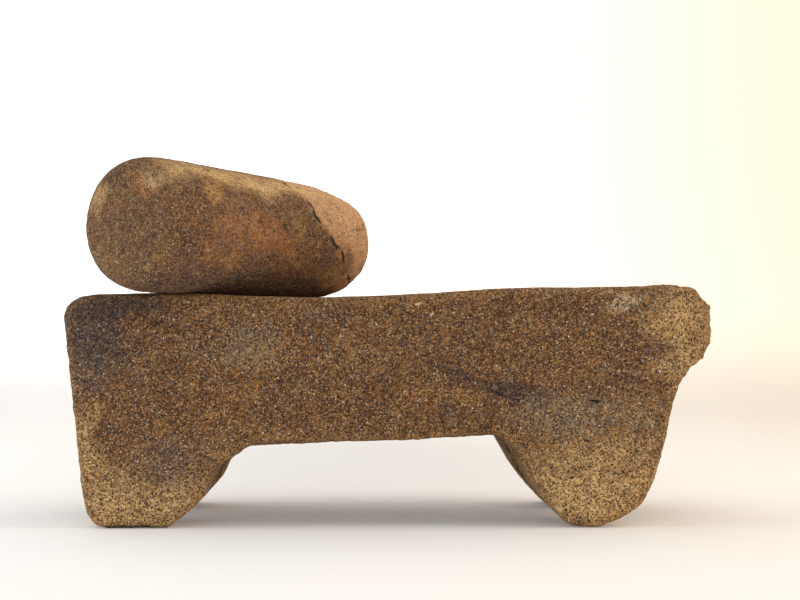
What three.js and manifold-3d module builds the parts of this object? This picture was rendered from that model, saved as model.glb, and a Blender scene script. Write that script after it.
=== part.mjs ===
// A saddle quern of carved stone, in millimetres: a slab on four stub legs, and the loose roller stone
// that lies askew across its worn top. +X runs along the slab, -Y is its front, and z = 0 is the ground.
import * as THREE from "three";
import { mergeVertices } from "three/addons/utils/BufferGeometryUtils.js";
import Module from "manifold-3d";

const wasm = await Module();
wasm.setup();

// The bed stone.
const WIDTH = 190; // front to back
const LEFT_END = -186.5; // the furthest left that the slab reaches
const RIGHT_END = 189.5; // the tip of the lip that overhangs the right legs
const SIDE_BULGE = 2; // how far the long sides bow out at mid length
const CORNER_RADIUS = 13; // of the slab's upright corners, seen from above
const ARRIS = 6; // rounding of every edge between a long side and the rest, as seen in plan
const ARRIS_RISE = 4.8; // and as seen from the front
const PLAN_DROP = 20; // how far the plan's prism reaches below the ground
const PLAN_HEIGHT = 200; // from there to above the top

// The worn top: a straight rim line that climbs to the right, with the saddle sunk below it.
const RIM_HEIGHT = 137; // at x = 0
const RIM_CLIMB = 0.015; // rise of the rim for each millimetre to the right
const SADDLE_DEPTH = 3.8;
const SADDLE_CENTRE = -28;
const SADDLE_HALF_LENGTH = 106;
const TOP_STEP = 11; // length of one facet of the top

// The underside of the slab and the legs under it.
const UNDERSIDE_LEFT = 47;
const UNDERSIDE_RIGHT = 53.5;
const LEG_GAP_WIDTH = 72; // clear width between a front leg and the back leg behind it, at the ground
const LEG_GAP_HEIGHT = 44;
const LEG_GAP_LEAN = 4; // how far each leg's inner face comes in on its way up
const LEG_GAP_SPRING = 12; // height over which the arch rounds into its crown
const LEG_GAP_SHOULDER = 15; // and the width over which it does so
const LEG_GAP_DROP = 10; // how far the cut reaches below the ground

// The belly: between the legs the long sides are cut back under it, deepest beside the right legs.
const BELLY_HEIGHT = 92; // where the cutting back starts
const BELLY_FLOOR = 40; // lower than the underside
const BELLY_RIGHT = 66;
const BELLY_LEFT = -92;
const BELLY_RELIEF = 9; // depth of the cut at its foot, beside the right legs
const BELLY_TOE_IN = 3; // degrees that the cut swings outwards, so that it runs out to the left

// The roller stone.
const ROLLER_LENGTH = 200;
const ROLLER_RADIUS = 37.4; // at mid length
const ROLLER_TAPER = 1.9; // how much the near end is thicker, and the far end thinner
const NEAR_SQUARENESS = 9; // a high value makes a flat end with a tight edge
const FAR_SQUARENESS = 4.5;
const ROLLER_SIDES = 36;
const ROLLER_RINGS = 11; // rings between mid length and each end
const ROLLER_X = -87; // where its middle lies on the worn top
const ROLLER_Y = -38;
const ROLLER_SWING = 37; // degrees from straight across the slab
const SEAT_WIDTH = 15; // the flat that keeps the roller from rolling
const WEAR_FACET_WIDTH = 36; // the flat that grinding has left on its upper face
const WEAR_FACET_TURN = 26; // degrees that this flat leans to the front
const WEAR_FACET_RUN_OUT = 45; // length at either end over which that flat fades
const FACET_LIFT = 5; // how far the fading ends curve off the stone
const REST_GAP = 0.3; // between the roller's seat and the worn top

// The angle between the tapering roller's side and its axis.
const ROLLER_CONE = Math.atan2(2 * ROLLER_TAPER, ROLLER_LENGTH);

const point = (x, y) => new THREE.Vector2(x, y);

// Height of the worn top at x, before the slab's ends round over.
function topHeight(x) {
  const along = Math.min(1, Math.abs(x - SADDLE_CENTRE) / SADDLE_HALF_LENGTH);
  return RIM_HEIGHT + RIM_CLIMB * x - SADDLE_DEPTH * (1 - along ** 2) ** 2;
}

// A closed three.js geometry as a solid that can be cut and joined.
function solidOf(geometry) {
  const bare = geometry.clone();
  bare.deleteAttribute("normal");
  bare.deleteAttribute("uv");
  const merged = mergeVertices(bare, 1e-4);
  const corners = merged.index.array;
  const kept = [];
  for (let i = 0; i < corners.length; i += 3) {
    const [a, b, c] = corners.slice(i, i + 3);
    if (a !== b && b !== c && c !== a) kept.push(a, b, c); // a lathe's poles leave empty triangles
  }
  return new wasm.Manifold(
    new wasm.Mesh({
      numProp: 3,
      vertProperties: merged.attributes.position.array,
      triVerts: new Uint32Array(kept),
    }),
  );
}

// A solid as a named mesh in its own material.
function meshOf(solid, name, material) {
  const { vertProperties, triVerts } = solid.getMesh();
  const geometry = new THREE.BufferGeometry();
  geometry.setAttribute("position", new THREE.BufferAttribute(vertProperties, 3));
  geometry.setIndex(new THREE.BufferAttribute(triVerts, 1));
  geometry.computeVertexNormals();
  const mesh = new THREE.Mesh(geometry, material);
  mesh.name = name;
  return mesh;
}

// The bed seen from the front: (x, z), running anticlockwise from the left foot.
function bedProfile() {
  const outline = new THREE.Shape();
  outline.moveTo(-160, 0);
  outline.lineTo(-126, 0);
  // Inner flank of the left legs, with the step that the carver left half way up.
  outline.splineThru([
    point(-116.5, 7),
    point(-106, 17.5),
    point(-101, 27),
    point(-97, 34.5),
    point(-88.5, 40.5),
    point(-79.5, UNDERSIDE_LEFT),
  ]);
  // Underside of the slab.
  outline.splineThru([
    point(-45, UNDERSIDE_LEFT + 1.8),
    point(20, UNDERSIDE_RIGHT - 2.4),
    point(66, UNDERSIDE_RIGHT),
  ]);
  // Inner flank, small foot and bulging outer side of the right legs.
  outline.splineThru([point(74, 44.5), point(86, 24), point(98, 9.5), point(108, 0)]);
  outline.lineTo(122, 0);
  outline.splineThru([
    point(138.5, 6.5),
    point(149.5, 15.5),
    point(155, 27),
    point(161.7, 50),
    point(166, 68),
    point(169, 80),
  ]);
  // The broken lip of the right end.
  outline.splineThru([point(175.5, 91), point(184, 100), point(188.3, 108), point(RIGHT_END, 118)]);
  outline.quadraticCurveTo(188, 133, 177, topHeight(177) - 1.5);
  // The worn top, back to the left.
  for (let x = 163; x >= LEFT_END + 10; x -= TOP_STEP) outline.lineTo(x, topHeight(x));
  // The left end, which leans in towards its foot.
  outline.quadraticCurveTo(LEFT_END + 1.5, topHeight(LEFT_END), LEFT_END, 122);
  outline.splineThru([point(-182.6, 93), point(-178, 51), point(-174.6, 17)]);
  outline.quadraticCurveTo(-173, 0.5, -160, 0);
  return outline;
}

// The bed seen from above: (x, y), a rectangle with round corners and slightly bowed long sides.
function bedPlan() {
  const side = WIDTH / 2 - SIDE_BULGE;
  const inset = CORNER_RADIUS;
  const plan = new THREE.Shape();
  plan.moveTo(LEFT_END + inset, -side);
  plan.quadraticCurveTo(0, -side - 2 * SIDE_BULGE, RIGHT_END - inset, -side);
  plan.quadraticCurveTo(RIGHT_END, -side, RIGHT_END, -side + inset);
  plan.lineTo(RIGHT_END, side - inset);
  plan.quadraticCurveTo(RIGHT_END, side, RIGHT_END - inset, side);
  plan.quadraticCurveTo(0, side + 2 * SIDE_BULGE, LEFT_END + inset, side);
  plan.quadraticCurveTo(LEFT_END, side, LEFT_END, side - inset);
  plan.lineTo(LEFT_END, -side + inset);
  plan.quadraticCurveTo(LEFT_END, -side, LEFT_END + inset, -side);
  return plan;
}

// The arch between a front leg and the back leg behind it, seen from the end: (y, z).
function legGapProfile() {
  const foot = LEG_GAP_WIDTH / 2;
  const spring = foot - LEG_GAP_LEAN;
  const crown = spring - LEG_GAP_SHOULDER;
  const arch = new THREE.Shape();
  arch.moveTo(-foot, -LEG_GAP_DROP);
  arch.lineTo(foot, -LEG_GAP_DROP);
  arch.lineTo(foot, 0);
  arch.lineTo(spring, LEG_GAP_HEIGHT - LEG_GAP_SPRING);
  arch.quadraticCurveTo(spring, LEG_GAP_HEIGHT, crown, LEG_GAP_HEIGHT);
  arch.lineTo(-crown, LEG_GAP_HEIGHT);
  arch.quadraticCurveTo(-spring, LEG_GAP_HEIGHT, -spring, LEG_GAP_HEIGHT - LEG_GAP_SPRING);
  arch.lineTo(-foot, 0);
  return arch;
}

// The arch, cut right through both pairs of legs along X.
function legGap() {
  const reach = 2 * (RIGHT_END - LEFT_END);
  const geometry = new THREE.ExtrudeGeometry(legGapProfile(), {
    depth: reach,
    bevelEnabled: false,
    curveSegments: 6,
  });
  geometry.translate(0, 0, -reach / 2);
  geometry.rotateX(Math.PI / 2);
  geometry.rotateZ(Math.PI / 2);
  return solidOf(geometry);
}

// The wedge cut from a long side, so that the slab's belly tucks under between the legs. side is -1 or 1.
function bellyCut(side) {
  const clear = 3 * BELLY_RELIEF; // how far the wedge reaches outside the slab
  const wedge = new THREE.Shape();
  wedge.moveTo(0, BELLY_HEIGHT);
  wedge.lineTo(clear, BELLY_HEIGHT);
  wedge.lineTo(clear, BELLY_FLOOR);
  wedge.lineTo(-BELLY_RELIEF, BELLY_FLOOR);
  wedge.quadraticCurveTo(-BELLY_RELIEF / 3, (BELLY_HEIGHT + BELLY_FLOOR) / 2, 0, BELLY_HEIGHT);
  const geometry = new THREE.ExtrudeGeometry(wedge, {
    depth: BELLY_RIGHT - BELLY_LEFT,
    bevelEnabled: false,
    curveSegments: 5,
  });
  geometry.rotateX(Math.PI / 2);
  geometry.rotateZ(Math.PI / 2); // the wedge's outward side now faces +Y and it runs to +X
  geometry.translate(BELLY_LEFT - BELLY_RIGHT, 0, 0);
  geometry.rotateZ(THREE.MathUtils.degToRad(-BELLY_TOE_IN));
  geometry.translate(BELLY_RIGHT, WIDTH / 2, 0);
  const cut = solidOf(geometry);
  return side > 0 ? cut : cut.mirror([0, 1, 0]);
}

function bedSolid() {
  const profile = new THREE.ExtrudeGeometry(bedProfile(), {
    depth: WIDTH - 2 * ARRIS,
    bevelEnabled: true,
    bevelThickness: ARRIS,
    bevelSize: ARRIS_RISE,
    bevelOffset: -ARRIS_RISE,
    bevelSegments: 3,
    curveSegments: 3,
  });
  profile.translate(0, 0, -(WIDTH - 2 * ARRIS) / 2);
  profile.rotateX(Math.PI / 2);
  const plan = new THREE.ExtrudeGeometry(bedPlan(), {
    depth: PLAN_HEIGHT,
    bevelEnabled: false,
    curveSegments: 8,
  });
  plan.translate(0, 0, -PLAN_DROP);
  return solidOf(profile)
    .intersect(solidOf(plan))
    .subtract(legGap())
    .subtract(bellyCut(-1))
    .subtract(bellyCut(1));
}

// The roller about its own Y axis, near end at -Y, with its middle at the origin.
function rollerSolid() {
  const rings = [];
  for (let ring = -ROLLER_RINGS; ring <= ROLLER_RINGS; ring++) {
    const along = Math.sin(((Math.PI / 2) * ring) / ROLLER_RINGS);
    const squareness = along < 0 ? NEAR_SQUARENESS : FAR_SQUARENESS;
    const fullness = (1 - Math.abs(along) ** squareness) ** (1 / squareness);
    const radius = (ROLLER_RADIUS - ROLLER_TAPER * along) * fullness;
    rings.push(point(Math.abs(ring) === ROLLER_RINGS ? 0 : radius, (along * ROLLER_LENGTH) / 2));
  }
  return solidOf(new THREE.LatheGeometry(rings, ROLLER_SIDES))
    .subtract(facetCut(SEAT_WIDTH, 0, 0))
    .subtract(facetCut(WEAR_FACET_WIDTH, 180 - WEAR_FACET_TURN, WEAR_FACET_RUN_OUT));
}

// What is taken off the roller to leave a flat of the given width along it. turn is how many degrees
// that flat stands round from the underside, and runOut is the length over which it fades at each end.
function facetCut(width, turn, runOut) {
  const reach = Math.sqrt(ROLLER_RADIUS ** 2 - (width / 2) ** 2);
  const half = ROLLER_LENGTH / 2;
  const side = new THREE.Shape(); // seen along X: (y, z)
  side.moveTo(-half, -2 * ROLLER_RADIUS);
  side.lineTo(half, -2 * ROLLER_RADIUS);
  side.lineTo(half, -reach - (runOut ? FACET_LIFT : 0));
  if (runOut) side.quadraticCurveTo(half - runOut / 2, -reach, half - runOut, -reach);
  side.lineTo(runOut - half, -reach);
  if (runOut) side.quadraticCurveTo(runOut / 2 - half, -reach, -half, -reach - FACET_LIFT);
  side.lineTo(-half, -2 * ROLLER_RADIUS);
  const geometry = new THREE.ExtrudeGeometry(side, {
    depth: 4 * ROLLER_RADIUS,
    bevelEnabled: false,
    curveSegments: 6,
  });
  geometry.translate(0, 0, -2 * ROLLER_RADIUS);
  geometry.rotateX(Math.PI / 2);
  geometry.rotateZ(Math.PI / 2);
  geometry.rotateX(ROLLER_CONE);
  geometry.rotateY(THREE.MathUtils.degToRad(turn));
  return solidOf(geometry);
}

// Turns the roller's mesh across the slab, leans it to the top's slope and lowers it until it rests there.
function restRoller(mesh) {
  const swing = THREE.MathUtils.degToRad(ROLLER_SWING);
  const reach = (ROLLER_LENGTH / 3) * Math.sin(swing);
  const fall = topHeight(ROLLER_X + reach) - topHeight(ROLLER_X - reach);
  const slope = Math.atan2(fall, (2 * ROLLER_LENGTH) / 3);
  mesh.rotation.set(slope - ROLLER_CONE, 0, -swing, "ZYX");
  mesh.position.set(ROLLER_X, ROLLER_Y, 0);
  mesh.updateMatrixWorld(true);
  const corners = mesh.geometry.attributes.position;
  const corner = new THREE.Vector3();
  let lowest = Infinity;
  for (let i = 0; i < corners.count; i++) {
    mesh.localToWorld(corner.fromBufferAttribute(corners, i));
    if (Math.abs(corner.y) > WIDTH / 2) continue; // what overhangs the slab rests on nothing
    lowest = Math.min(lowest, corner.z - topHeight(corner.x));
  }
  mesh.position.z = REST_GAP - lowest;
}

const bedStone = new THREE.MeshStandardMaterial({ color: 0x6f5139, roughness: 0.95, metalness: 0 });
const rollerStone = new THREE.MeshStandardMaterial({ color: 0x7d5a3e, roughness: 0.85, metalness: 0 });

const roller = meshOf(rollerSolid(), "roller_stone", rollerStone);
restRoller(roller);

const stones = new THREE.Group();
stones.add(meshOf(bedSolid(), "bed_stone", bedStone), roller);

// The roller overhangs the front, so the pair is moved to stand with the middle of its box on the origin.
const footprint = new THREE.Box3().setFromObject(stones, true).getCenter(new THREE.Vector3());
stones.position.set(-footprint.x, -footprint.y, 0);

const quern = new THREE.Group();
quern.add(stones);

export default quern;
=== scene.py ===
"""Looks of a footed saddle quern of carved stone and of the loose roller stone that lies on it.

Everything is in metres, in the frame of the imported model: +X runs along the slab towards its
overhanging lip, -Y is the front, and the feet stand on z = 0.
"""

import logging
import math
from dataclasses import dataclass, field
from enum import Enum
from typing import Any

import bmesh
import bpy
import numpy as np
from mathutils import Euler, Matrix, Vector


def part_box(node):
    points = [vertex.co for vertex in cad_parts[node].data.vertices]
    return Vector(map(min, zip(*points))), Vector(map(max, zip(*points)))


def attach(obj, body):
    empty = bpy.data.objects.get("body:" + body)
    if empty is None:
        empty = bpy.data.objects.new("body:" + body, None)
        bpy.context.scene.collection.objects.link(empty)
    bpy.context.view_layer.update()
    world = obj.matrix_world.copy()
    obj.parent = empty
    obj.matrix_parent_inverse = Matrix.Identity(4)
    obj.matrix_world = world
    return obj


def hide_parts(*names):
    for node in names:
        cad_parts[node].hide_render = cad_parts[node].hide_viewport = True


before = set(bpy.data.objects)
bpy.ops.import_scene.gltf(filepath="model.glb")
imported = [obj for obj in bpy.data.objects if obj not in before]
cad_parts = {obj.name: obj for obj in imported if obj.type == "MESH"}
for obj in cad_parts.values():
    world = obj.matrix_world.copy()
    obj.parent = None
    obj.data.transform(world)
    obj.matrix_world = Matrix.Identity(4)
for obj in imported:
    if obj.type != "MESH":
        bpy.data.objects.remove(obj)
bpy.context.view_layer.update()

LOG = logging.getLogger("quern")
MM = 0.001


class Tone(Enum):
    """Surface colours, as sRGB bytes."""

    BROWN = 0x714B2E
    UMBER = 0x4C3224
    EARTH = 0x573722
    TAWNY = 0x8A6440
    OLIVE = 0x7F6B48
    OCHRE = 0xB48A50
    STRAW = 0xC0A070
    CREAM = 0xDCCAA4
    QUARTZ = 0xF4ECDC
    RUST = 0xA4673A
    NAVY = 0x2C2C34
    DUN = 0x54402F
    SLATE = 0x4F4E56
    SOOT = 0x2C2830
    PLUM = 0x4C3230
    LICHEN = 0x77735C
    ASHEN = 0x8C8A78
    SAND = 0xE2B284
    BLACK = 0x120E0C
    BARK = 0x38200F
    AMBER = 0xB07434
    EMBER = 0xC87430
    STEEL = 0x6C7078
    BUFF = 0xC89A64
    HONEY = 0xF5CB8A
    WHITE = 0xFFFFFF
    CANDLE = 0xFFD9AE
    PAPER = 0xF3F3F2
    PAPER_IN_WARM_LIGHT = 0xEDE3D4
    SHADOW_GREY = 0xAFAFAE
    DIM = 0x7A7B7C

    @property
    def linear(self) -> tuple[float, float, float, float]:
        """The tone as linear light.

        Returns:
            Red, green, blue and an alpha of 1.
        """
        parts = [((self.value >> shift) & 255) / 255 for shift in (16, 8, 0)]
        red, green, blue = (c / 12.92 if c <= 0.04045 else ((c + 0.055) / 1.055) ** 2.4 for c in parts)
        return (red, green, blue, 1.0)


class Value:
    """A number socket. Python expressions on it add Math nodes to its tree."""

    def __init__(self, tree: "Tree", socket: bpy.types.NodeSocket) -> None:
        """Wraps a socket.

        Args:
            tree: The tree that the socket's node is in.
            socket: An output socket that gives a number.
        """
        self.tree = tree
        self.socket = socket

    def __add__(self, other: Any) -> "Value":
        """Sum."""
        return self.tree.math("ADD", self, other)

    def __radd__(self, other: Any) -> "Value":
        """Sum, with the plain number first."""
        return self.tree.math("ADD", other, self)

    def __sub__(self, other: Any) -> "Value":
        """Difference."""
        return self.tree.math("SUBTRACT", self, other)

    def __rsub__(self, other: Any) -> "Value":
        """Difference, with the plain number first."""
        return self.tree.math("SUBTRACT", other, self)

    def __mul__(self, other: Any) -> "Value":
        """Product."""
        return self.tree.math("MULTIPLY", self, other)

    def __rmul__(self, other: Any) -> "Value":
        """Product, with the plain number first."""
        return self.tree.math("MULTIPLY", other, self)

    def __truediv__(self, other: Any) -> "Value":
        """Quotient."""
        return self.tree.math("DIVIDE", self, other)

    def step(self, start: Any, end: Any) -> "Value":
        """A smooth step of the number.

        Args:
            start: Where the step is still 0.
            end: Where it reaches 1, above or below start.

        Returns:
            A number from 0 to 1.
        """
        inputs = {"Value": self, "From Min": start, "From Max": end}
        node = self.tree.node("ShaderNodeMapRange", {"interpolation_type": "SMOOTHSTEP"}, inputs)
        return Value(self.tree, node.outputs["Result"])


class Tree:
    """A node tree, of a material or of geometry, that is filled by short calls."""

    def __init__(self, tree: bpy.types.NodeTree) -> None:
        """Wraps a node tree.

        Args:
            tree: The tree to fill.
        """
        self.tree = tree

    def node(self, kind: str, settings: dict[str, Any], inputs: dict[Any, Any]) -> bpy.types.Node:
        """Adds one node.

        Args:
            kind: The node's type, such as "ShaderNodeTexNoise".
            settings: Its properties. A colour ramp's "stops" is a list of (place, colour).
            inputs: Values, sockets or Values by socket identifier, name or number.

        Returns:
            The new node.
        """
        node = self.tree.nodes.new(kind)
        for name, setting in settings.items():
            if name == "stops":
                elements = node.color_ramp.elements
                while len(elements) < len(setting):
                    elements.new(0.5)
                for element, (place, colour) in zip(elements, setting):
                    element.position = place
                    element.color = colour
            else:
                setattr(node, name, setting)
        for name, given in inputs.items():
            socket = self.input(node, name)
            if isinstance(given, Value):
                self.tree.links.new(given.socket, socket)
            elif isinstance(given, bpy.types.NodeSocket):
                self.tree.links.new(given, socket)
            else:
                socket.default_value = given
        return node

    @staticmethod
    def input(node: bpy.types.Node, name: Any) -> bpy.types.NodeSocket:
        """Finds an input socket.

        Args:
            node: The node that has it.
            name: Its number, identifier or name.

        Returns:
            The socket.
        """
        if isinstance(name, int):
            return node.inputs[name]
        for socket in node.inputs:
            if socket.identifier == name:
                return socket
        return node.inputs[name]

    def math(self, operation: str, first: Any, second: Any) -> Value:
        """One Math node.

        Args:
            operation: Blender's name for the operation.
            first: Its first number.
            second: Its second number.

        Returns:
            The result.
        """
        node = self.node("ShaderNodeMath", {"operation": operation}, {0: first, 1: second})
        return Value(self, node.outputs[0])

    def vector(self, operation: str, first: Any, second: Any) -> bpy.types.NodeSocket:
        """One Vector Math node.

        Args:
            operation: Blender's name for the operation.
            first: Its first vector.
            second: Its second vector, or the number for SCALE.

        Returns:
            The vector that comes out.
        """
        inputs = {0: first, "Scale" if operation == "SCALE" else 1: second}
        return self.node("ShaderNodeVectorMath", {"operation": operation}, inputs).outputs["Vector"]

    def measure(self, operation: str, first: Any, second: Any = (0.0, 0.0, 0.0)) -> Value:
        """One Vector Math node that gives a number, such as DOT_PRODUCT or LENGTH.

        Args:
            operation: Blender's name for the operation.
            first: Its first vector.
            second: Its second vector, if it takes one.

        Returns:
            The number that comes out.
        """
        node = self.node("ShaderNodeVectorMath", {"operation": operation}, {0: first, 1: second})
        return Value(self, node.outputs["Value"])

    def noise(self, place: Any, size: float, detail: float, roughness: float = 0.5) -> Value:
        """Smooth noise.

        Args:
            place: The coordinates that it is read at.
            size: Size of its largest blobs, in metres.
            detail: How many finer layers are added.
            roughness: How strong each finer layer is.

        Returns:
            A number about 0.5.
        """
        return Value(self, self._noise(place, size, detail, roughness).outputs["Fac"])

    def noise_vector(self, place: Any, size: float, detail: float, reach: float) -> bpy.types.NodeSocket:
        """A smooth random shift.

        Args:
            place: The coordinates that it is read at.
            size: Size of its largest blobs, in metres.
            detail: How many finer layers are added.
            reach: Length of the shift, in metres.

        Returns:
            place, shifted.
        """
        colour = self._noise(place, size, detail, 0.5).outputs["Color"]
        centred = self.vector("SUBTRACT", colour, (0.5, 0.5, 0.5))
        return self.vector("ADD", place, self.vector("SCALE", centred, 2 * reach))

    def _noise(self, place: Any, size: float, detail: float, roughness: float) -> bpy.types.Node:
        """The noise node behind noise() and noise_vector().

        Args:
            place: The coordinates that it is read at.
            size: Size of its largest blobs, in metres.
            detail: How many finer layers are added.
            roughness: How strong each finer layer is.

        Returns:
            The node.
        """
        inputs = {"Vector": place, "Scale": 1 / size, "Detail": detail, "Roughness": roughness}
        return self.node("ShaderNodeTexNoise", {}, inputs)

    def cells(self, place: Any, size: Any) -> tuple[Value, Value, Value, Value]:
        """Random cells, like packed grains.

        Args:
            place: The coordinates that they are read at.
            size: Size of a cell, in metres, a number or a Value.

        Returns:
            The distance from the cell's middle, in cells, and the cell's three random numbers.
        """
        scale = 1 / size if isinstance(size, float) else self.math("DIVIDE", 1.0, size)
        node = self.node("ShaderNodeTexVoronoi", {"feature": "F1"}, {"Vector": place, "Scale": scale})
        parts = self.node("ShaderNodeSeparateXYZ", {}, {0: node.outputs["Color"]}).outputs
        return (Value(self, node.outputs["Distance"]), *(Value(self, part) for part in parts))

    def mix(self, share: Any, first: Any, second: Any) -> bpy.types.NodeSocket:
        """Mixes two colours.

        Args:
            share: How much of the second shows, from 0 to 1.
            first: The colour below, a Tone or a socket.
            second: The colour above, a Tone or a socket.

        Returns:
            The mixed colour.
        """
        settings = {"data_type": "RGBA", "blend_type": "MIX", "clamp_factor": True}
        colours = [c.linear if isinstance(c, Tone) else c for c in (first, second)]
        inputs = {"Factor_Float": share, "A_Color": colours[0], "B_Color": colours[1]}
        node = self.node("ShaderNodeMix", settings, inputs)
        return next(s for s in node.outputs if s.identifier == "Result_Color")

    def ramp(self, number: Value, stops: list[tuple[float, Tone]]) -> bpy.types.NodeSocket:
        """A colour ramp over tones.

        Args:
            number: The number that runs along the ramp.
            stops: Places on it and their tones.

        Returns:
            The colour.
        """
        settings = {"stops": [(place, tone.linear) for place, tone in stops]}
        return self.node("ShaderNodeValToRGB", settings, {0: number}).outputs["Color"]

    def attribute(self, name: str) -> Value:
        """A number that the mesh carries on its points.

        Args:
            name: The attribute's name.

        Returns:
            The number.
        """
        node = self.node("ShaderNodeAttribute", {"attribute_type": "GEOMETRY", "attribute_name": name}, {})
        return Value(self, node.outputs["Fac"])


@dataclass(frozen=True)
class Stain:
    """A patch of another colour, round or oval, with a ragged edge.

    Attributes:
        tone: Its colour.
        centre: Where its middle is, in the stone's own frame, in metres.
        radii: How far it reaches along each axis, in metres.
        strength: How much of its colour shows, from 0 to 1.
        turn: Degrees that it is turned about the stone's Y axis, from X towards Z.
        softness: Width of its edge, as a share of its radius.
    """

    tone: Tone
    centre: tuple[float, float, float]
    radii: tuple[float, float, float]
    strength: float
    turn: float = 0.0
    softness: float = 0.55

    FRAY = 1.6

    def paint(self, tree: Tree, place: Any, breakup: Value, below: Any) -> bpy.types.NodeSocket:
        """Lays the stain over a colour.

        Args:
            tree: The material's tree.
            place: The stone's own coordinates.
            breakup: A fine noise that frays the stain.
            below: The colour under it.

        Returns:
            The colour with the stain on it.
        """
        inputs = {
            "Vector": place,
            "Location": self.centre,
            "Rotation": (0.0, -math.radians(self.turn), 0.0),
            "Scale": self.radii,
        }
        centred = tree.node("ShaderNodeMapping", {"vector_type": "TEXTURE"}, inputs).outputs["Vector"]
        frayed = tree.measure("LENGTH", centred) + (breakup - 0.5) * self.FRAY
        share = frayed.step(1 + self.softness, 1 - self.softness) * self.strength
        return tree.mix(share, below, self.tone)


@dataclass(frozen=True)
class StoneFinish:
    """The finish of one stone: broad patches, stains, mineral grains, pores and a rough skin.

    Attributes:
        name: The material's name.
        patches: Four tones that the broad patches run through, from dark to pale.
        patch_size: Size of the broad patches, in metres.
        low_tone: The tone that takes over near the ground.
        low_heights: Where that tone starts and where it is full, in metres above the ground.
        grain: Size of a mineral grain, in metres.
        contrast: How much the grains differ, from 0 to 1.
        clumping: How strong the dark and pale clouds and fibres between the grains are, about 1.
        glitter: How bright the few quartz grains are, from 0 to 1.
        calm: How much of the grains' contrast is lost on broken stone, from 0 to 1.
        stretch: How finely the fibres lie along each of the stone's own axes.
        rim: How much paler its arrises are painted, a painted highlight along them, from 0 to 1.
        stains: The stains on it, and any patches of painted shade.
        marks: Its small nicks and chips, and any thin painted shadow, which are sharper than stains.
        centre: Middle of the stone's own frame.
        turn: Turn of the stone's own frame.
        fresh: The tone of broken stone.
        crack_and_step_shading: How dark the edge of the broken part is painted, as a crack and partly as
            the shadow of its step, with orange painted highlights, from 0 to 1.
        bump: Height of the grains that the light catches, in metres.
    """

    name: str
    patches: tuple[Tone, Tone, Tone, Tone]
    patch_size: float
    low_tone: Tone
    low_heights: tuple[float, float]
    grain: float
    contrast: float
    clumping: float
    glitter: float
    calm: float
    stretch: tuple[float, float, float]
    rim: float
    stains: tuple[Stain, ...]
    marks: tuple[Stain, ...]
    centre: tuple[float, float, float]
    turn: tuple[float, float, float]
    fresh: Tone
    crack_and_step_shading: float
    bump: float

    SHEEN = 0.35

    def material(self) -> bpy.types.Material:
        """Makes the material.

        Returns:
            The material, ready to be put on a stone.
        """
        material = bpy.data.materials.new(self.name)
        material.use_nodes = True
        material.node_tree.nodes.clear()
        tree = Tree(material.node_tree)
        coordinates = tree.node("ShaderNodeTexCoord", {}, {}).outputs["Object"]
        colour = self._stained(tree, coordinates)
        # Painted highlight: the arrises are made paler, as if they caught the light.
        colour = tree.mix(tree.attribute("arris") * self.rim, colour, Tone.OCHRE)
        own = self._own(tree, coordinates)
        colour, height, glint = self._grained(tree, coordinates, own, colour)
        edge_noise = tree.noise(coordinates, 1.6 * MM, 2.0)
        for mark in self.marks:
            colour = mark.paint(tree, own, edge_noise, colour)
        # Painted shade: the pecking pits are darkened towards black.
        colour = tree.mix(tree.attribute("pit") * 0.45, colour, Tone.BLACK)
        broken = tree.attribute("broken")
        # The break's edge: a dark crack, partly painted shadow of the step there, with orange flecks that
        # are painted highlights.
        crack_and_step_shading = (broken * (1 - broken) * 4).step(0.35, 0.95) * self.crack_and_step_shading
        patchy = tree.noise(coordinates, 12 * MM, 2.0)
        colour = tree.mix(crack_and_step_shading * patchy.step(0.52, 0.42), colour, Tone.BLACK)
        colour = tree.mix(crack_and_step_shading * patchy.step(0.54, 0.62), colour, Tone.RUST)
        bump_inputs = {"Strength": 1.0, "Distance": self.bump, "Height": height}
        bump = tree.node("ShaderNodeBump", {}, bump_inputs).outputs["Normal"]
        shader_inputs = {"Base Color": colour, "Roughness": 0.9 - 0.35 * glint, "Normal": bump}
        shader = tree.node("ShaderNodeBsdfPrincipled", {}, shader_inputs)
        shader.inputs["Specular IOR Level"].default_value = self.SHEEN
        tree.node("ShaderNodeOutputMaterial", {}, {"Surface": shader.outputs["BSDF"]})
        return material

    def _stained(self, tree: Tree, coordinates: Any) -> bpy.types.NodeSocket:
        """The broad patches and the stains.

        Args:
            tree: The material's tree.
            coordinates: Object coordinates.

        Returns:
            The colour before the grains.
        """
        warped = tree.noise_vector(coordinates, 28 * MM, 5.0, 16 * MM)
        breakup = tree.noise(coordinates, 9 * MM, 4.0, 0.7)
        dark, middle, warm, pale = self.patches
        broad = tree.noise(warped, self.patch_size, 5.0, 0.6)
        colour = tree.ramp(broad, [(0.36, dark), (0.47, middle), (0.55, warm), (0.66, pale)])
        mottle = tree.noise(warped, 12 * MM, 4.0, 0.6)
        colour = tree.mix(mottle.step(0.52, 0.68) * 0.60, colour, Tone.RUST)
        colour = tree.mix(mottle.step(0.46, 0.30) * 0.50, colour, Tone.OLIVE)
        tinge = tree.noise(tree.vector("SCALE", coordinates, -1.0), 10 * MM, 3.0, 0.65)
        colour = tree.mix(tinge.step(0.52, 0.68) * 0.55, colour, Tone.OCHRE)
        colour = tree.mix(tinge.step(0.48, 0.31) * 0.66, colour, Tone.SLATE)
        up = Value(tree, tree.node("ShaderNodeSeparateXYZ", {}, {0: warped}).outputs["Z"])
        low = (up + (breakup - 0.5) * 60 * MM).step(*self.low_heights)
        colour = tree.mix(low * 0.95, colour, self.low_tone)
        colour = tree.mix(tree.attribute("worn") * 0.35, colour, Tone.BUFF)
        colour = tree.mix(tree.attribute("broken") * 0.8, colour, self.fresh)
        own = self._own(tree, warped)
        for stain in self.stains:
            colour = stain.paint(tree, own, breakup, colour)
        return colour

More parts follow.
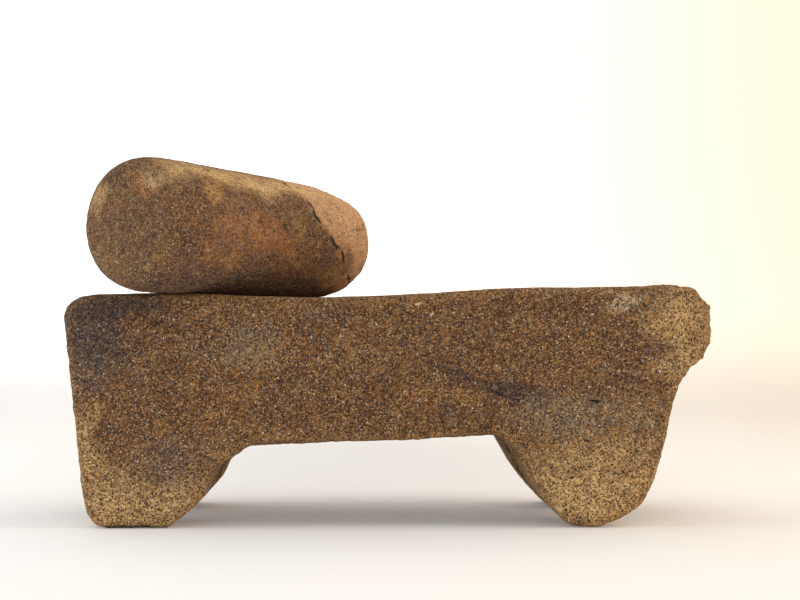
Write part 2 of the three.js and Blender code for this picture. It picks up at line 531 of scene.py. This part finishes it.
    def _own(self, tree: Tree, place: Any) -> bpy.types.NodeSocket:
        """Object coordinates, turned into the stone's own frame."""
        inputs = {"Vector": place, "Location": self.centre, "Rotation": self.turn}
        return tree.node("ShaderNodeMapping", {"vector_type": "TEXTURE"}, inputs).outputs["Vector"]

    def _grained(self, tree: Tree, coordinates: Any, own: Any, colour: Any) -> tuple[Any, Value, Value]:
        """The mineral grains and the pores between them.

        Each row of clouds and flecks is a random number, where the tone starts to show and is full
        on it, how strong it is there, and the tone.

        Args:
            tree: The material's tree.
            coordinates: Object coordinates.
            own: The stone's own coordinates.
            colour: The colour under the grains.

        Returns:
            The colour, the height of the grains and how glossy they are.
        """
        distance, light, hue, kind = tree.cells(coordinates, self.grain)
        coarse, coarse_light, coarse_hue, coarse_kind = tree.cells(coordinates, 2.1 * self.grain)
        drawn = tree.vector("MULTIPLY", own, self.stretch)
        fibre = tree.noise(drawn, 1.7 * self.grain, 3.0, 0.8)
        clump = tree.noise(drawn, 8 * self.grain, 4.0, 0.7)
        clouds = (
            (clump, 0.49, 0.28, 0.66, Tone.BARK),
            (clump, 0.53, 0.74, 0.34, Tone.BUFF),
            (fibre, 0.47, 0.29, 0.80, Tone.BARK),
            (fibre, 0.56, 0.76, 0.34, Tone.BUFF),
        )
        flecks = (
            (coarse_light, 0.40, 0.04, 0.50, Tone.BARK),
            (coarse_light, 0.68, 0.95, 0.34, Tone.BUFF),
            (coarse_kind, 0.80, 0.98, 0.42, Tone.AMBER),
            (coarse_kind, 0.20, 0.02, 0.36, Tone.PLUM),
            (coarse_kind, 0.972, 0.985, 0.45, Tone.EMBER),
            (coarse_hue, 0.035, 0.02, 0.60, Tone.STEEL),
            (light, 0.51, 0.05, 0.97, Tone.BARK),
            (light, 0.62, 0.95, 0.42, Tone.BUFF),
            (light, 0.90, 1.0, 0.60, Tone.CREAM),
            (hue, 0.78, 1.0, 0.55, Tone.AMBER),
            (hue, 0.22, 0.0, 0.45, Tone.PLUM),
            (kind, 0.82, 1.0, 0.34, Tone.SLATE),
            (kind, 0.14, 0.0, 0.40, Tone.OLIVE),
        )
        shown = 1 - tree.attribute("broken") * self.calm
        for strength, layer in ((self.clumping, clouds), (self.contrast, flecks)):
            for number, start, end, share, tone in layer:
                colour = tree.mix(number.step(start, end) * share * strength * shown, colour, tone)
        quartz = coarse_light.step(0.990, 0.996) * coarse.step(0.42, 0.25)
        colour = tree.mix(quartz * self.glitter, colour, Tone.QUARTZ)
        pore = coarse_hue.step(0.92, 0.97) * coarse.step(0.45, 0.25)
        colour = tree.mix(pore * 0.5, colour, Tone.BLACK)
        lump = tree.noise(coordinates, 4 * self.grain, 3.0, 0.6)
        height = (1 - distance) * 0.5 + light * 0.35 + lump * 1.6 - pore * 1.5
        return colour, height, quartz + light.step(0.9, 1.0) * 0.4


@dataclass(frozen=True)
class Relief:
    """The carved and weathered relief of a stone, made by moving its points along their normals.

    Attributes:
        grow: How far the whole skin moves out, to make up for its rounding.
        swell: Height of the hand-dressed unevenness, about 60 mm across.
        ripple: Height of the bumps about 18 mm across.
        tooth: Height of the finest roughness, about 5 mm across.
        pit_depth: Depth of the pecking pits.
        pit_spacing: Distance between neighbouring pits.
        chip_depth: Depth of the chips along the arrises.
        worn_towards: Direction that the rubbed face looks in.
        worn_above: Height above which rubbing counts.
        worn_depth: How deep the rubbing has gone.
        break_centre: A point on the edge of the broken part.
        break_towards: Direction from there into the broken part.
        break_width: Width of the break's edge.
        break_fray: How far the break's edge wanders.
        break_depth: How far the broken part lies below the old skin, or above it if negative.
        break_tooth: Height of the lumps on the broken part.
        seed: Which random pattern is used.
        floor: The lowest height that a point may have.
    """

    grow: float
    swell: float
    ripple: float
    tooth: float
    pit_depth: float
    pit_spacing: float
    chip_depth: float
    worn_towards: tuple[float, float, float]
    worn_above: float
    worn_depth: float
    break_centre: tuple[float, float, float]
    break_towards: tuple[float, float, float]
    break_width: float
    break_fray: float
    break_depth: float
    break_tooth: float
    seed: float
    floor: float

    SWELL_SIZE = 60 * MM
    RIPPLE_SIZE = 18 * MM
    TOOTH_SIZE = 4.5 * MM
    CHIP_SIZE = 11 * MM
    LUMP_SIZE = 8 * MM
    CRUMB_SIZE = 10 * MM
    FRAY_SIZE = 24 * MM
    INPUTS = {
        "Grow": "grow",
        "Swell": "swell",
        "Ripple": "ripple",
        "Tooth": "tooth",
        "Pit Depth": "pit_depth",
        "Pit Spacing": "pit_spacing",
        "Chip Depth": "chip_depth",
        "Worn Towards": "worn_towards",
        "Worn Above": "worn_above",
        "Worn Depth": "worn_depth",
        "Break Centre": "break_centre",
        "Break Towards": "break_towards",
        "Break Width": "break_width",
        "Break Fray": "break_fray",
        "Break Depth": "break_depth",
        "Break Tooth": "break_tooth",
        "Seed": "seed",
        "Floor": "floor",
    }

    def apply(self, stone: bpy.types.Object, material: bpy.types.Material) -> None:
        """Adds the relief to a stone as a modifier, with its inputs set.

        Args:
            stone: The stone's object.
            material: The material that the tree gives it.
        """
        group = self.group(stone.name, material)
        modifier = stone.modifiers.new("relief", "NODES")
        modifier.node_group = group
        for item in group.interface.items_tree:
            if item.in_out == "INPUT" and item.name in self.INPUTS:
                modifier[item.identifier] = getattr(self, self.INPUTS[item.name])

    def group(self, name: str, material: bpy.types.Material) -> bpy.types.NodeTree:
        """Builds the geometry tree.

        Args:
            name: The stone's name.
            material: The material that the tree gives the stone.

        Returns:
            The tree.
        """
        nodes = bpy.data.node_groups.new(name + "_relief", "GeometryNodeTree")
        nodes.interface.new_socket("Geometry", in_out="INPUT", socket_type="NodeSocketGeometry")
        for socket, attribute in self.INPUTS.items():
            kind = "NodeSocketVector" if isinstance(getattr(self, attribute), tuple) else "NodeSocketFloat"
            nodes.interface.new_socket(socket, in_out="INPUT", socket_type=kind)
        nodes.interface.new_socket("Geometry", in_out="OUTPUT", socket_type="NodeSocketGeometry")
        tree = Tree(nodes)
        given = tree.node("NodeGroupInput", {}, {}).outputs

        def size(name: str) -> Value:
            """A named input as a number."""
            return Value(tree, given[name])

        position = tree.node("GeometryNodeInputPosition", {}, {}).outputs["Position"]
        normal = tree.node("GeometryNodeInputNormal", {}, {}).outputs["Normal"]
        shift = tree.node("ShaderNodeCombineXYZ", {}, {"X": size("Seed"), "Y": size("Seed") * 0.7})
        place = tree.vector("ADD", position, shift.outputs["Vector"])
        up = Value(tree, tree.node("ShaderNodeSeparateXYZ", {}, {0: position}).outputs["Z"])

        facing = tree.measure("DOT_PRODUCT", normal, given["Worn Towards"])
        worn = facing.step(0.90, 0.985) * (up - size("Worn Above")).step(0.0, 0.01)

        warped = tree.noise_vector(place, 14 * MM, 3.0, 4.5 * MM)
        from_break = tree.vector("SUBTRACT", position, given["Break Centre"])
        into_break = tree.measure("DOT_PRODUCT", from_break, given["Break Towards"])
        fray = (tree.noise(place, self.FRAY_SIZE, 5.0, 0.6) - 0.5) * 4 * size("Break Fray")
        broken = ((into_break + fray) / size("Break Width")).step(0.0, 1.0)

        blur_inputs = {"Value": position, "Iterations": 10}
        blur = tree.node("GeometryNodeBlurAttribute", {"data_type": "FLOAT_VECTOR"}, blur_inputs)
        blurred = blur.outputs["Value"]
        arris = tree.measure("DOT_PRODUCT", tree.vector("SUBTRACT", position, blurred), normal)
        arris = arris.step(0.15 * MM, 0.8 * MM)

        calm = 1 - worn * 0.75
        bold = 1 + broken * 1.2
        swell = (tree.noise(place, self.SWELL_SIZE, 2.0) - 0.5) * 2 * size("Swell")
        ripple = (tree.noise(place, self.RIPPLE_SIZE, 3.0) - 0.5) * 2 * size("Ripple") * calm * bold
        tooth = (tree.noise(place, self.TOOTH_SIZE, 3.0, 0.7) - 0.5) * 2 * size("Tooth") * calm * bold
        pit_distance, pit_pick, pit_size, _ = tree.cells(warped, size("Pit Spacing"))
        pit = (pit_distance + pit_size * 0.25).step(0.46, 0.10) * pit_pick.step(0.55, 0.60) * calm
        chip_distance, chip_pick, _, _ = tree.cells(warped, self.CHIP_SIZE)
        chip = chip_distance.step(0.7, 0.25) * chip_pick.step(0.45, 0.55) * arris
        torn = tree.noise_vector(place, 6 * MM, 3.0, 4 * MM)
        _, lump_pick, _, _ = tree.cells(torn, self.LUMP_SIZE)
        crumbs = tree.noise(place, self.CRUMB_SIZE, 4.0, 0.75)
        lump = (lump_pick * 0.6 + crumbs * 1.4 - 1.0) * broken * size("Break Tooth")
        lowered = pit * size("Pit Depth") + chip * size("Chip Depth") + broken * size("Break Depth")
        lowered = lowered + worn * size("Worn Depth")
        height = size("Grow") + swell + ripple + tooth + lump - lowered

        geometry = given["Geometry"]
        for name, number in {"worn": worn, "broken": broken, "pit": pit, "arris": arris}.items():
            store = {"data_type": "FLOAT", "domain": "POINT"}
            inputs = {"Geometry": geometry, "Name": name, "Value": number}
            geometry = tree.node("GeometryNodeStoreNamedAttribute", store, inputs).outputs["Geometry"]
        moved = tree.vector("ADD", position, tree.vector("SCALE", normal, height))
        parts = tree.node("ShaderNodeSeparateXYZ", {}, {0: moved}).outputs
        level = tree.math("MAXIMUM", Value(tree, parts["Z"]), size("Floor"))
        target = tree.node("ShaderNodeCombineXYZ", {}, {"X": parts["X"], "Y": parts["Y"], "Z": level})
        inputs = {"Geometry": geometry, "Position": target.outputs["Vector"]}
        geometry = tree.node("GeometryNodeSetPosition", {}, inputs).outputs["Geometry"]
        for kind, extra in (
            ("GeometryNodeSetShadeSmooth", {"Shade Smooth": True}),
            ("GeometryNodeRealizeInstances", {}),
            ("GeometryNodeSetMaterial", {"Material": material}),
        ):
            geometry = tree.node(kind, {}, {"Geometry": geometry, **extra}).outputs["Geometry"]
        tree.node("NodeGroupOutput", {}, {"Geometry": geometry})
        return nodes


@dataclass
class Stone:
    """A stone that stands for a CAD node.

    Attributes:
        node: The CAD node's name.
        piece: The name of the finished piece.
        voxel: Size of the fine mesh's faces, in metres.
        rounding: How many times the arrises are smoothed.
    """

    node: str
    piece: str
    voxel: float
    rounding: int
    lowest: Vector = field(init=False)
    highest: Vector = field(init=False)

    def __post_init__(self) -> None:
        """Takes the stone's place from the frame."""
        self.lowest, self.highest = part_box(self.node)

    def rough_out(self) -> bpy.types.Object:
        """Copies the CAD node as one closed skin and gives it a fine, even mesh with rounded arrises.

        Returns:
            The stone's object, with live modifiers.
        """
        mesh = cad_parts[self.node].data.copy()
        skin = bmesh.new()
        skin.from_mesh(mesh)
        bmesh.ops.remove_doubles(skin, verts=skin.verts, dist=0.01 * MM)
        skin.to_mesh(mesh)
        skin.free()
        mesh.materials.clear()
        stone = bpy.data.objects.new(self.piece + "_rough", mesh)
        bpy.context.scene.collection.objects.link(stone)
        remesh = stone.modifiers.new("even_mesh", "REMESH")
        remesh.mode = "VOXEL"
        remesh.voxel_size = self.voxel
        smooth = stone.modifiers.new("rounding", "SMOOTH")
        smooth.factor = 0.5
        smooth.iterations = self.rounding
        return stone

    def finish(self, rough: bpy.types.Object) -> bpy.types.Object:
        """Turns the rough stone and its modifiers into one plain mesh, hangs it on the root body and hides
        the CAD node.

        Args:
            rough: The object from rough_out, with its relief on it.

        Returns:
            The finished piece.
        """
        graph = bpy.context.evaluated_depsgraph_get()
        mesh = bpy.data.meshes.new_from_object(rough.evaluated_get(graph), depsgraph=graph)
        mesh.name = self.piece
        rough.modifiers.clear()
        bpy.data.objects.remove(rough)
        piece = bpy.data.objects.new(self.piece, mesh)
        bpy.context.scene.collection.objects.link(piece)
        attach(piece, "root")
        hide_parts(self.node)
        LOG.info("%s: %d faces", self.piece, len(mesh.polygons))
        return piece


@dataclass
class BedStone(Stone):
    """The slab with its four legs."""

    node: str = "bed_stone"
    piece: str = "quern_bed"
    voxel: float = 1.85 * MM
    rounding: int = 2

    def face(self, along: float, up: float) -> tuple[float, float, float]:
        """A point on the front face.

        Args:
            along: Distance from the slab's left end, in metres.
            up: Height above the ground, in metres.

        Returns:
            The point, in metres.
        """
        return (self.lowest.x + along, self.lowest.y, up)

    def build(self) -> bpy.types.Object:
        """Makes the bed stone.

        Returns:
            The finished piece.
        """
        rough = self.rough_out()
        self.relief().apply(rough, self.finish_coat().material())
        return self.finish(rough)

    def relief(self) -> Relief:
        """The bed's relief: coarse all over, calm on the worn top and rough on the broken lip.

        Returns:
            The relief.
        """
        return Relief(
            grow=0.25 * MM,
            swell=0.8 * MM,
            ripple=0.7 * MM,
            tooth=0.85 * MM,
            pit_depth=0.7 * MM,
            pit_spacing=9 * MM,
            chip_depth=1.6 * MM,
            worn_towards=(0.0, 0.0, 1.0),
            worn_above=0.8 * self.highest.z,
            worn_depth=0.0,
            break_centre=(self.highest.x - 26 * MM, 0.0, 0.75 * self.highest.z),
            break_towards=(0.94, 0.0, 0.34),
            break_width=14 * MM,
            break_fray=11 * MM,
            break_depth=-0.6 * MM,
            break_tooth=2.4 * MM,
            seed=3.1,
            floor=0.0,
        )

    def finish_coat(self) -> StoneFinish:
        """The bed's finish: speckled brown, ochre on the legs, with old stains.

        Each row of spots, and of the sharper marks with the painted shadow line, is a tone, its place along
        the slab and above the ground, how far it reaches both ways, its strength, its turn in degrees and
        its softness. Lengths are in mm.

        Returns:
            The finish.
        """
        deep = 35 * MM
        spots = (
            # The dark left corner and the bluish ground under it.
            (Tone.SOOT, 32, 127, 30, 8.5, 0.92, 0, 0.6),
            (Tone.NAVY, 18, 111, 21, 22, 1.10, 0, 0.6),
            (Tone.SLATE, 14, 92, 13, 14, 0.8, 0, 0.7),
            (Tone.LICHEN, 36, 93, 15, 6.9, 0.35, 0, 0.8),
            (Tone.RUST, 41, 119, 7, 4.6, 0.45, 0, 0.7),
            # The pale patch right of it, with rusty flecks at its edge.
            (Tone.LICHEN, 82, 105, 17, 8.6, 0.3, 0, 0.8),
            (Tone.ASHEN, 106, 107, 15, 11.5, 0.60, 0, 0.8),
            (Tone.STRAW, 115, 101, 9, 6.9, 0.42, 0, 0.8),
            (Tone.RUST, 108, 119, 5, 3.5, 0.5, 0, 0.7),
            (Tone.RUST, 95, 74, 15, 10.4, 0.28, 30, 0.8),
            # Dark spots in the middle, and the warm rim.
            (Tone.SOOT, 161, 124, 9, 4.6, 0.45, -10, 0.7),
            (Tone.SOOT, 135, 85, 8, 5.2, 0.42, 0, 0.8),
            (Tone.PLUM, 165, 70, 12, 4.0, 0.6, 15, 0.7),
            (Tone.SOOT, 188, 82, 10, 5.2, 0.42, 0, 0.8),
            (Tone.RUST, 211, 130, 18, 2.9, 0.42, 0, 0.8),
            # The dark streak that runs down to the right legs, and the ochre below it.
            (Tone.SOOT, 226, 90, 16, 4.0, 0.80, -24, 0.6),
            (Tone.SOOT, 259, 78, 16, 4.8, 0.95, -6, 0.6),
            (Tone.SOOT, 287, 74, 14, 4.6, 0.62, 0, 0.8),
            (Tone.PLUM, 312, 78, 15, 4.0, 0.4, 0, 0.8),
            (Tone.OCHRE, 232, 77, 20, 4.6, 0.52, -8, 0.7),
            # The paler lower edge of the side.
            (Tone.OCHRE, 137, 57, 33, 4.6, 0.32, 2, 0.8),
            (Tone.STRAW, 211, 56, 25, 3.5, 0.32, 3, 0.8),
            # The right leg: grey above, banded with buff and brown below.
            (Tone.ASHEN, 298, 65, 36, 10.5, 0.70, 0, 0.7),
            (Tone.STRAW, 334, 63, 16, 12, 0.45, 0, 0.8),
            (Tone.HONEY, 305, 47, 32, 7, 0.50, 0, 0.8),
            (Tone.HONEY, 311, 22, 38, 18, 1.05, 0, 0.8),
            (Tone.PLUM, 288, 33, 12, 2.9, 0.42, 5, 0.8),
            (Tone.PLUM, 327, 31, 12, 4.0, 0.45, 10, 0.8),
            # The pale broken lip and the grey patch beside it.
            (Tone.CREAM, 324, 132, 10, 3.2, 0.85, 4, 0.7),
            (Tone.HONEY, 357, 119, 14, 15, 0.95, 0, 0.7),
            (Tone.RUST, 365, 107, 6, 5.8, 0.6, 0, 0.7),
            (Tone.HONEY, 357, 95, 10, 8, 1.0, 30, 0.7),
            # The left leg: ochre at its edge, brown and grey above.
            (Tone.OCHRE, 12, 46, 11, 23, 1.1, 0, 0.5),
            (Tone.HONEY, 12, 45, 10, 20, 1.2, 0, 0.6),
            (Tone.PLUM, 32, 53, 14, 8.6, 0.4, 0, 0.8),
            (Tone.SLATE, 63, 39, 17, 11, 0.85, 10, 0.7),
            (Tone.SOOT, 55, 5, 7, 2.3, 0.6, 0, 0.7),
        )
        nicks_and_shadow = (
            # Dark nicks above the right leg, a pale chip low on it and pale flecks under the rim.
            (Tone.BLACK, 307, 73, 3.4, 0.8, 1.0, -8, 0.3),
            (Tone.BLACK, 303, 50, 2.4, 0.6, 0.8, -5, 0.3),
            (Tone.BLACK, 252, 77, 4.0, 0.9, 0.9, -20, 0.4),
            (Tone.BLACK, 263, 74, 3.0, 0.7, 0.7, 10, 0.4),
            (Tone.CREAM, 286, 11, 2.6, 0.8, 0.7, -35, 0.4),
            (Tone.CREAM, 205, 129, 1.8, 0.7, 0.8, 15, 0.4),
            (Tone.CREAM, 213, 123, 1.4, 0.6, 0.7, 40, 0.4),
            (Tone.BLACK, 55, 118, 3.2, 1.6, 0.7, 0, 0.5),
            # Painted shadow: a dark line along the foot of the left leg, where it meets the ground.
            (Tone.BLACK, 30, 0, 27, 1.5, 0.85, 0, 0.4),
            # The deepest of the stains, which cover the grains too.
            (Tone.SOOT, 34, 128, 27, 7, 0.42, 0, 0.8),
            (Tone.NAVY, 18, 112, 18, 20, 0.45, 0, 0.8),
            (Tone.SOOT, 262, 78, 18, 4.5, 0.45, -6, 0.8),
            (Tone.SOOT, 228, 89, 14, 3.5, 0.35, -24, 0.8),
        )
        stains, marks = (
            tuple(
                Stain(tone, self.face(along * MM, up * MM), (wide * MM, deep, high * MM), share, turn, soft)
                for tone, along, up, wide, high, share, turn, soft in table
            )
            for table in (spots, nicks_and_shadow)
        )
        return StoneFinish(
            name="weathered_bed_stone",
            patches=(Tone.UMBER, Tone.EARTH, Tone.EARTH, Tone.BROWN),
            patch_size=55 * MM,
            low_tone=Tone.HONEY,
            low_heights=(58 * MM, 10 * MM),
            grain=0.66 * MM,
            contrast=1.1,
            clumping=1.25,
            glitter=0.85,
            calm=0.0,
            stretch=(1.0, 1.0, 1.0),
            rim=0.5,
            stains=stains,
            marks=marks,
            centre=(0.0, 0.0, 0.0),
            turn=(0.0, 0.0, 0.0),
            fresh=Tone.STRAW,
            crack_and_step_shading=0.0,
            bump=0.6 * MM,
        )


@dataclass
class RollerStone(Stone):
    """The loose roller stone."""

    node: str = "roller_stone"
    piece: str = "quern_roller"
    voxel: float = 0.95 * MM
    rounding: int = 6
    axes: Matrix = field(init=False)
    middle: Vector = field(init=False)

    def __post_init__(self) -> None:
        """Finds the stone's own frame: Y along it, X across it to the right and Z up."""
        super().__post_init__()
        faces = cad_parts[self.node].data.polygons
        middles = np.array([face.center for face in faces])
        areas = np.array([face.area for face in faces])
        centroid = np.average(middles, axis=0, weights=areas)
        self.middle = Vector(centroid)
        spread = np.cov((middles - centroid).T, aweights=areas)
        along = Vector(np.linalg.eigh(spread)[1][:, -1])
        along *= math.copysign(1.0, along.y)
        across = along.cross(Vector((0.0, 0.0, 1.0))).normalized()
        self.axes = Matrix((across, along, across.cross(along))).transposed()

    def towards(self, angle: float) -> Vector:
        """A direction square to the axis, in the model's frame."""
        turn = math.radians(angle)
        return self.axes @ Vector((math.sin(turn), 0.0, math.cos(turn)))

    def build(self) -> bpy.types.Object:
        """Makes the roller stone.

        Returns:
            The finished piece.
        """
        rough = self.rough_out()
        self.relief().apply(rough, self.finish_coat().material())
        return self.finish(rough)

    def relief(self) -> Relief:
        """The roller's relief: finer than the bed's, with a flake gone from its far end.

        Returns:
            The relief.
        """
        into_scar = (self.axes @ Vector((0.67, 1.0, 1.10))).normalized()
        edge = self.middle + self.axes @ Vector((0.0, 69 * MM, 0.0))
        return Relief(
            grow=0.5 * MM,
            swell=0.7 * MM,
            ripple=0.5 * MM,
            tooth=0.22 * MM,
            pit_depth=0.5 * MM,
            pit_spacing=7 * MM,
            chip_depth=0.6 * MM,
            worn_towards=tuple(self.towards(26)),
            worn_above=0.0,
            worn_depth=1.1 * MM,
            break_centre=tuple(edge),
            break_towards=tuple(into_scar),
            break_width=5 * MM,
            break_fray=4 * MM,
            break_depth=0.2 * MM,
            break_tooth=0.1 * MM,
            seed=11.7,
            floor=self.lowest.z,
        )

    def finish_coat(self) -> StoneFinish:
        """The roller's finish: finer and browner, rubbed pale on top, orange where it has flaked.

        Each row of spots is a tone, its place across, along and above the stone's axis, how far it
        reaches those three ways, its strength and its softness. Lengths are in mm.

        Returns:
            The finish.
        """
        spots = (
            # The near end: olive, with an orange and a blue-grey mottle above and a pale pitted chip.
            (Tone.DUN, 0, -106, 0, 90, 22, 90, 0.55, 0.2),
            (Tone.PLUM, 27, -82, 0, 16, 7, 44, 0.80, 0.6),
            (Tone.OLIVE, -17, -93, -18, 14, 12, 12, 0.45, 0.6),
            (Tone.RUST, 11, -95, 24, 9, 10, 7, 1.1, 0.6),
            (Tone.SLATE, 18, -91, 30, 7, 12, 6, 1.1, 0.6),
            (Tone.HONEY, -23, -93, 14, 7, 9, 10, 0.60, 0.6),
            (Tone.SOOT, -25, -93, 11, 3, 8, 2, 0.60, 0.7),
            (Tone.PLUM, 31, -82, 21, 8, 9, 10, 0.60, 0.6),
            # The rubbed facet and the spots under it.
            (Tone.HONEY, 21, -20, 31, 13, 85, 8, 0.95, 0.8),
            (Tone.OCHRE, 32, -57, 20, 7, 8, 3, 1.1, 0.5),
            (Tone.SOOT, 35, -54, 15, 7, 6, 2.2, 0.9, 0.6),
            (Tone.PLUM, 34, -30, 14, 8, 26, 6, 0.40, 0.6),
            # The body: rust and yellow in the middle; the plum and soot below are painted shade on its
            # underside.
            (Tone.RUST, 37, -14, -4, 9, 18, 9, 0.70, 0.8),
            (Tone.RUST, 34, -48, 2, 9, 12, 9, 0.55, 0.8),
            (Tone.SOOT, 36, -2, 8, 9, 12, 5, 0.45, 0.8),
            (Tone.RUST, 36, 9, -9, 9, 16, 9, 0.65, 0.8),
            # Painted shade on the underside, where the stone turns away from the light.
            (Tone.PLUM, 33, 0, -20, 10, 34, 7, 0.60, 0.7),
            (Tone.SOOT, 20, 5, -36, 30, 110, 12, 1.0, 0.4),
            # The flake scar.
            (Tone.SAND, 26, 90, 6, 36, 32, 42, 1.0, 0.4),
            # Painted shade low on the stone below the scar.
            (Tone.SOOT, 34, 70, -16, 9, 9, 7, 0.65, 0.7),
            (Tone.RUST, 35, 60, -8, 8, 8, 7, 0.50, 0.7),
        )
        stains = tuple(
            Stain(
                tone,
                (across * MM, along * MM, up * MM),
                (wide * MM, deep * MM, high * MM),
                strength,
                softness=softness,
            )
            for tone, across, along, up, wide, deep, high, strength, softness in spots
        )
        return StoneFinish(
            name="rubbed_roller_stone",
            patches=(Tone.UMBER, Tone.EARTH, Tone.BROWN, Tone.TAWNY),
            patch_size=32 * MM,
            low_tone=Tone.BROWN,
            low_heights=(1 * MM, 0.0),
            grain=0.60 * MM,
            contrast=0.62,
            clumping=1.5,
            glitter=0.35,
            calm=0.3,
            stretch=(1.0, 0.45, 1.0),
            rim=0.1,
            stains=stains,
            marks=(),
            centre=tuple(self.middle),
            turn=tuple(self.axes.to_euler()),
            fresh=Tone.SAND,
            crack_and_step_shading=0.95,
            bump=0.25 * MM,
        )


@dataclass
class Studio:
    """The plain pale sweep, the soft lights and the camera.

    Attributes:
        subject: The point that the lights aim at.
        lens: Focal length of the lens, in mm, on a sensor 36 mm wide.
        camera_left: How far left of the slab's middle the camera stands, in metres.
        camera_back: How far in front of the slab's middle it stands.
        camera_height: Its height above the floor.
        camera_tilt: Degrees that it looks up from level.
        camera_swing: Degrees that it is swung to the right.
        glow: Strength of the sweep's own light.
        air: Strength of the light from all round.
    """

    subject: Vector
    lens: float = 92.8
    camera_left: float = 0.0177
    camera_back: float = 1.282
    camera_height: float = 0.114
    camera_tilt: float = 0.83
    camera_swing: float = 1.17
    glow: float = 0.62
    air: float = 0.40

    def build(self, bed: BedStone) -> None:
        """Sets up the whole studio.

        Args:
            bed: The bed stone, which the camera's place is measured from.
        """
        self.sweep()
        self.camera(bed)
        self.light("overhead", (-0.1, -0.1, 1.7), 2.6, 10.0, (1.0, 0.985, 0.96))
        self.light("front", (-0.3, -2.2, 0.75), 1.5, 9.5, (0.98, 0.99, 1.0))
        self.light("left_side", (-1.7, -0.2, 0.7), 0.9, 8.0, (0.97, 0.985, 1.0))
        self.light("warm_side", (1.5, -0.35, 0.75), 1.0, 11.0, (1.0, 0.84, 0.66))
        world = bpy.data.worlds.new("studio_air")
        world.use_nodes = True
        background = world.node_tree.nodes["Background"]
        background.inputs["Color"].default_value = (1.0, 0.99, 0.97, 1.0)
        background.inputs["Strength"].default_value = self.air
        bpy.context.scene.world = world
        bpy.context.scene.view_settings.view_transform = "Standard"
        bpy.context.scene.view_settings.look = "None"

    def sweep(self) -> None:
        """The floor that curves up into the backdrop."""
        front, bend, radius, top, half = -2.2, 1.3, 0.8, 3.2, 4.0
        steps, drop = 16, 0.2 * MM
        profile = [(front, 0.0), (bend, 0.0)]
        for step in range(1, steps + 1):
            angle = math.pi / 2 * step / steps
            profile.append((bend + radius * math.sin(angle), radius * (1 - math.cos(angle))))
        profile.append((bend + radius, top))
        mesh = bpy.data.meshes.new("sweep")
        points = [(x, y, z - drop) for y, z in profile for x in (-half, half)]
        faces = [(2 * i, 2 * i + 1, 2 * i + 3, 2 * i + 2) for i in range(len(profile) - 1)]
        mesh.from_pydata(points, [], faces)
        mesh.shade_smooth()
        sweep = bpy.data.objects.new("sweep", mesh)
        bpy.context.scene.collection.objects.link(sweep)
        mesh.materials.append(self.paper())

    def paper(self) -> bpy.types.Material:
        """The sweep's matt white: it glows, dimly on the floor and fully where it rises, is painted warmer
        to the right as if in warm light, and has a painted shadow behind the stone.

        Returns:
            The material.
        """
        material = bpy.data.materials.new("pale_sweep")
        material.use_nodes = True
        tree = Tree(material.node_tree)
        place = tree.node("ShaderNodeTexCoord", {}, {}).outputs["Object"]
        parts = tree.node("ShaderNodeSeparateXYZ", {}, {0: place}).outputs
        # Painted warm light: towards the right the sweep's glow is warmer and its colour creamier, as if a
        # warm lamp shone on it.
        warm_light_share = Value(tree, parts["X"]).step(-0.3, 0.9)
        glow = tree.mix(warm_light_share, Tone.WHITE, Tone.CANDLE)
        # Painted light: the sweep glows dimly on the floor, which lifts its shadows, and fully where it
        # rises.
        rise = Value(tree, parts["Z"]).step(0.0, 0.16)
        shader = material.node_tree.nodes["Principled BSDF"]
        material.node_tree.links.new(tree.mix(rise, Tone.DIM, glow), shader.inputs["Emission Color"])
        shader.inputs["Emission Strength"].default_value = self.glow
        # Painted shadow: the paper turns greyer in a soft patch behind the stone, where the stone would
        # shade it.
        shade_inputs = {"Vector": place, "Location": (-0.02, 0.5, 0.0), "Scale": (0.24, 0.6, 1.0)}
        shade = tree.node("ShaderNodeMapping", {"vector_type": "TEXTURE"}, shade_inputs).outputs["Vector"]
        shaded = tree.measure("LENGTH", shade).step(1.4, 0.2) * 0.4
        card_in_warm_light = tree.mix(warm_light_share, Tone.PAPER, Tone.PAPER_IN_WARM_LIGHT)
        material.node_tree.links.new(tree.mix(shaded, card_in_warm_light, Tone.SHADOW_GREY), shader.inputs["Base Color"])
        shader.inputs["Roughness"].default_value = 0.8
        return material

    def light(
        self,
        name: str,
        place: tuple[float, float, float],
        size: float,
        watts: float,
        colour: tuple[float, float, float],
    ) -> None:
        """Adds a square soft light that is aimed at the subject.

        Args:
            name: The light's name.
            place: Where it hangs.
            size: Length of its sides, in metres.
            watts: Its power.
            colour: Its colour.
        """
        lamp = bpy.data.lights.new(name, "AREA")
        lamp.size = size
        lamp.energy = watts
        lamp.color = colour
        holder = bpy.data.objects.new(name, lamp)
        holder.location = place
        aim = self.subject - holder.location
        holder.rotation_euler = aim.to_track_quat("-Z", "Y").to_euler()
        bpy.context.scene.collection.objects.link(holder)

    def camera(self, bed: BedStone) -> None:
        """A long lens at table height, a little below the slab's top.

        Args:
            bed: The bed stone.
        """
        middle = (bed.lowest + bed.highest) / 2
        lens = bpy.data.cameras.new("camera")
        lens.sensor_width = 36.0
        lens.lens = self.lens
        camera = bpy.data.objects.new("camera", lens)
        camera.location = (middle.x - self.camera_left, middle.y - self.camera_back, self.camera_height)
        camera.rotation_euler = Euler(
            (math.radians(90 + self.camera_tilt), 0.0, math.radians(-self.camera_swing))
        )
        bpy.context.scene.collection.objects.link(camera)
        bpy.context.scene.camera = camera


def main() -> None:
    """Builds the quern and its studio in order."""
    logging.basicConfig(level=logging.INFO, format="%(name)s: %(message)s")
    bed = BedStone()
    roller = RollerStone()
    Studio((bed.lowest + bed.highest) / 2).build(bed)
    bed.build()
    roller.build()


if __name__ == "__main__":
    main()
